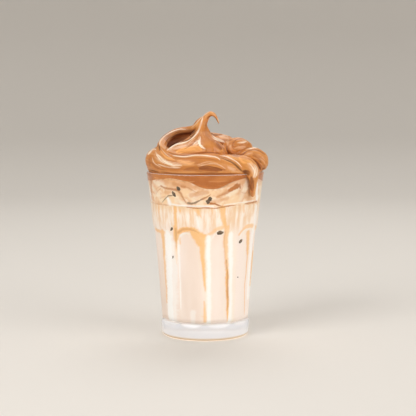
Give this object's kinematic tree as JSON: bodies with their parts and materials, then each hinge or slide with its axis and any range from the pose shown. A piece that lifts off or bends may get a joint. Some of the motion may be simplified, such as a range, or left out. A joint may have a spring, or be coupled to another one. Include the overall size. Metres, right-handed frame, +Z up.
{
  "type": "whipped coffee latte in a fluted glass",
  "caption": "Whipped-coffee latte: milk under froth in a tall fluted glass, with folds of whipped coffee heaped over the rim and a run down the side.",
  "frame": {"origin": "the middle of the glass's flat foot, on the surface that it stands on", "axes": "+Z up along the glass, -Y the front that the picture shows, +X to its right"},
  "size_m": [0.0916, 0.0888, 0.1676],
  "materials": {
    "glass": "clear and glossy, with flat panels",
    "milk": "milk, with ochre trails of coffee",
    "milk_foam": "froth, streaked with coffee",
    "whipped_coffee": "whipped coffee, satin, in folds"
  },
  "bodies": {
    "root": {"glass": "glass", "milk": "milk", "milk_foam": "milk_foam", "whipped_coffee": "whipped_coffee"}
  },
  "joints": []
}
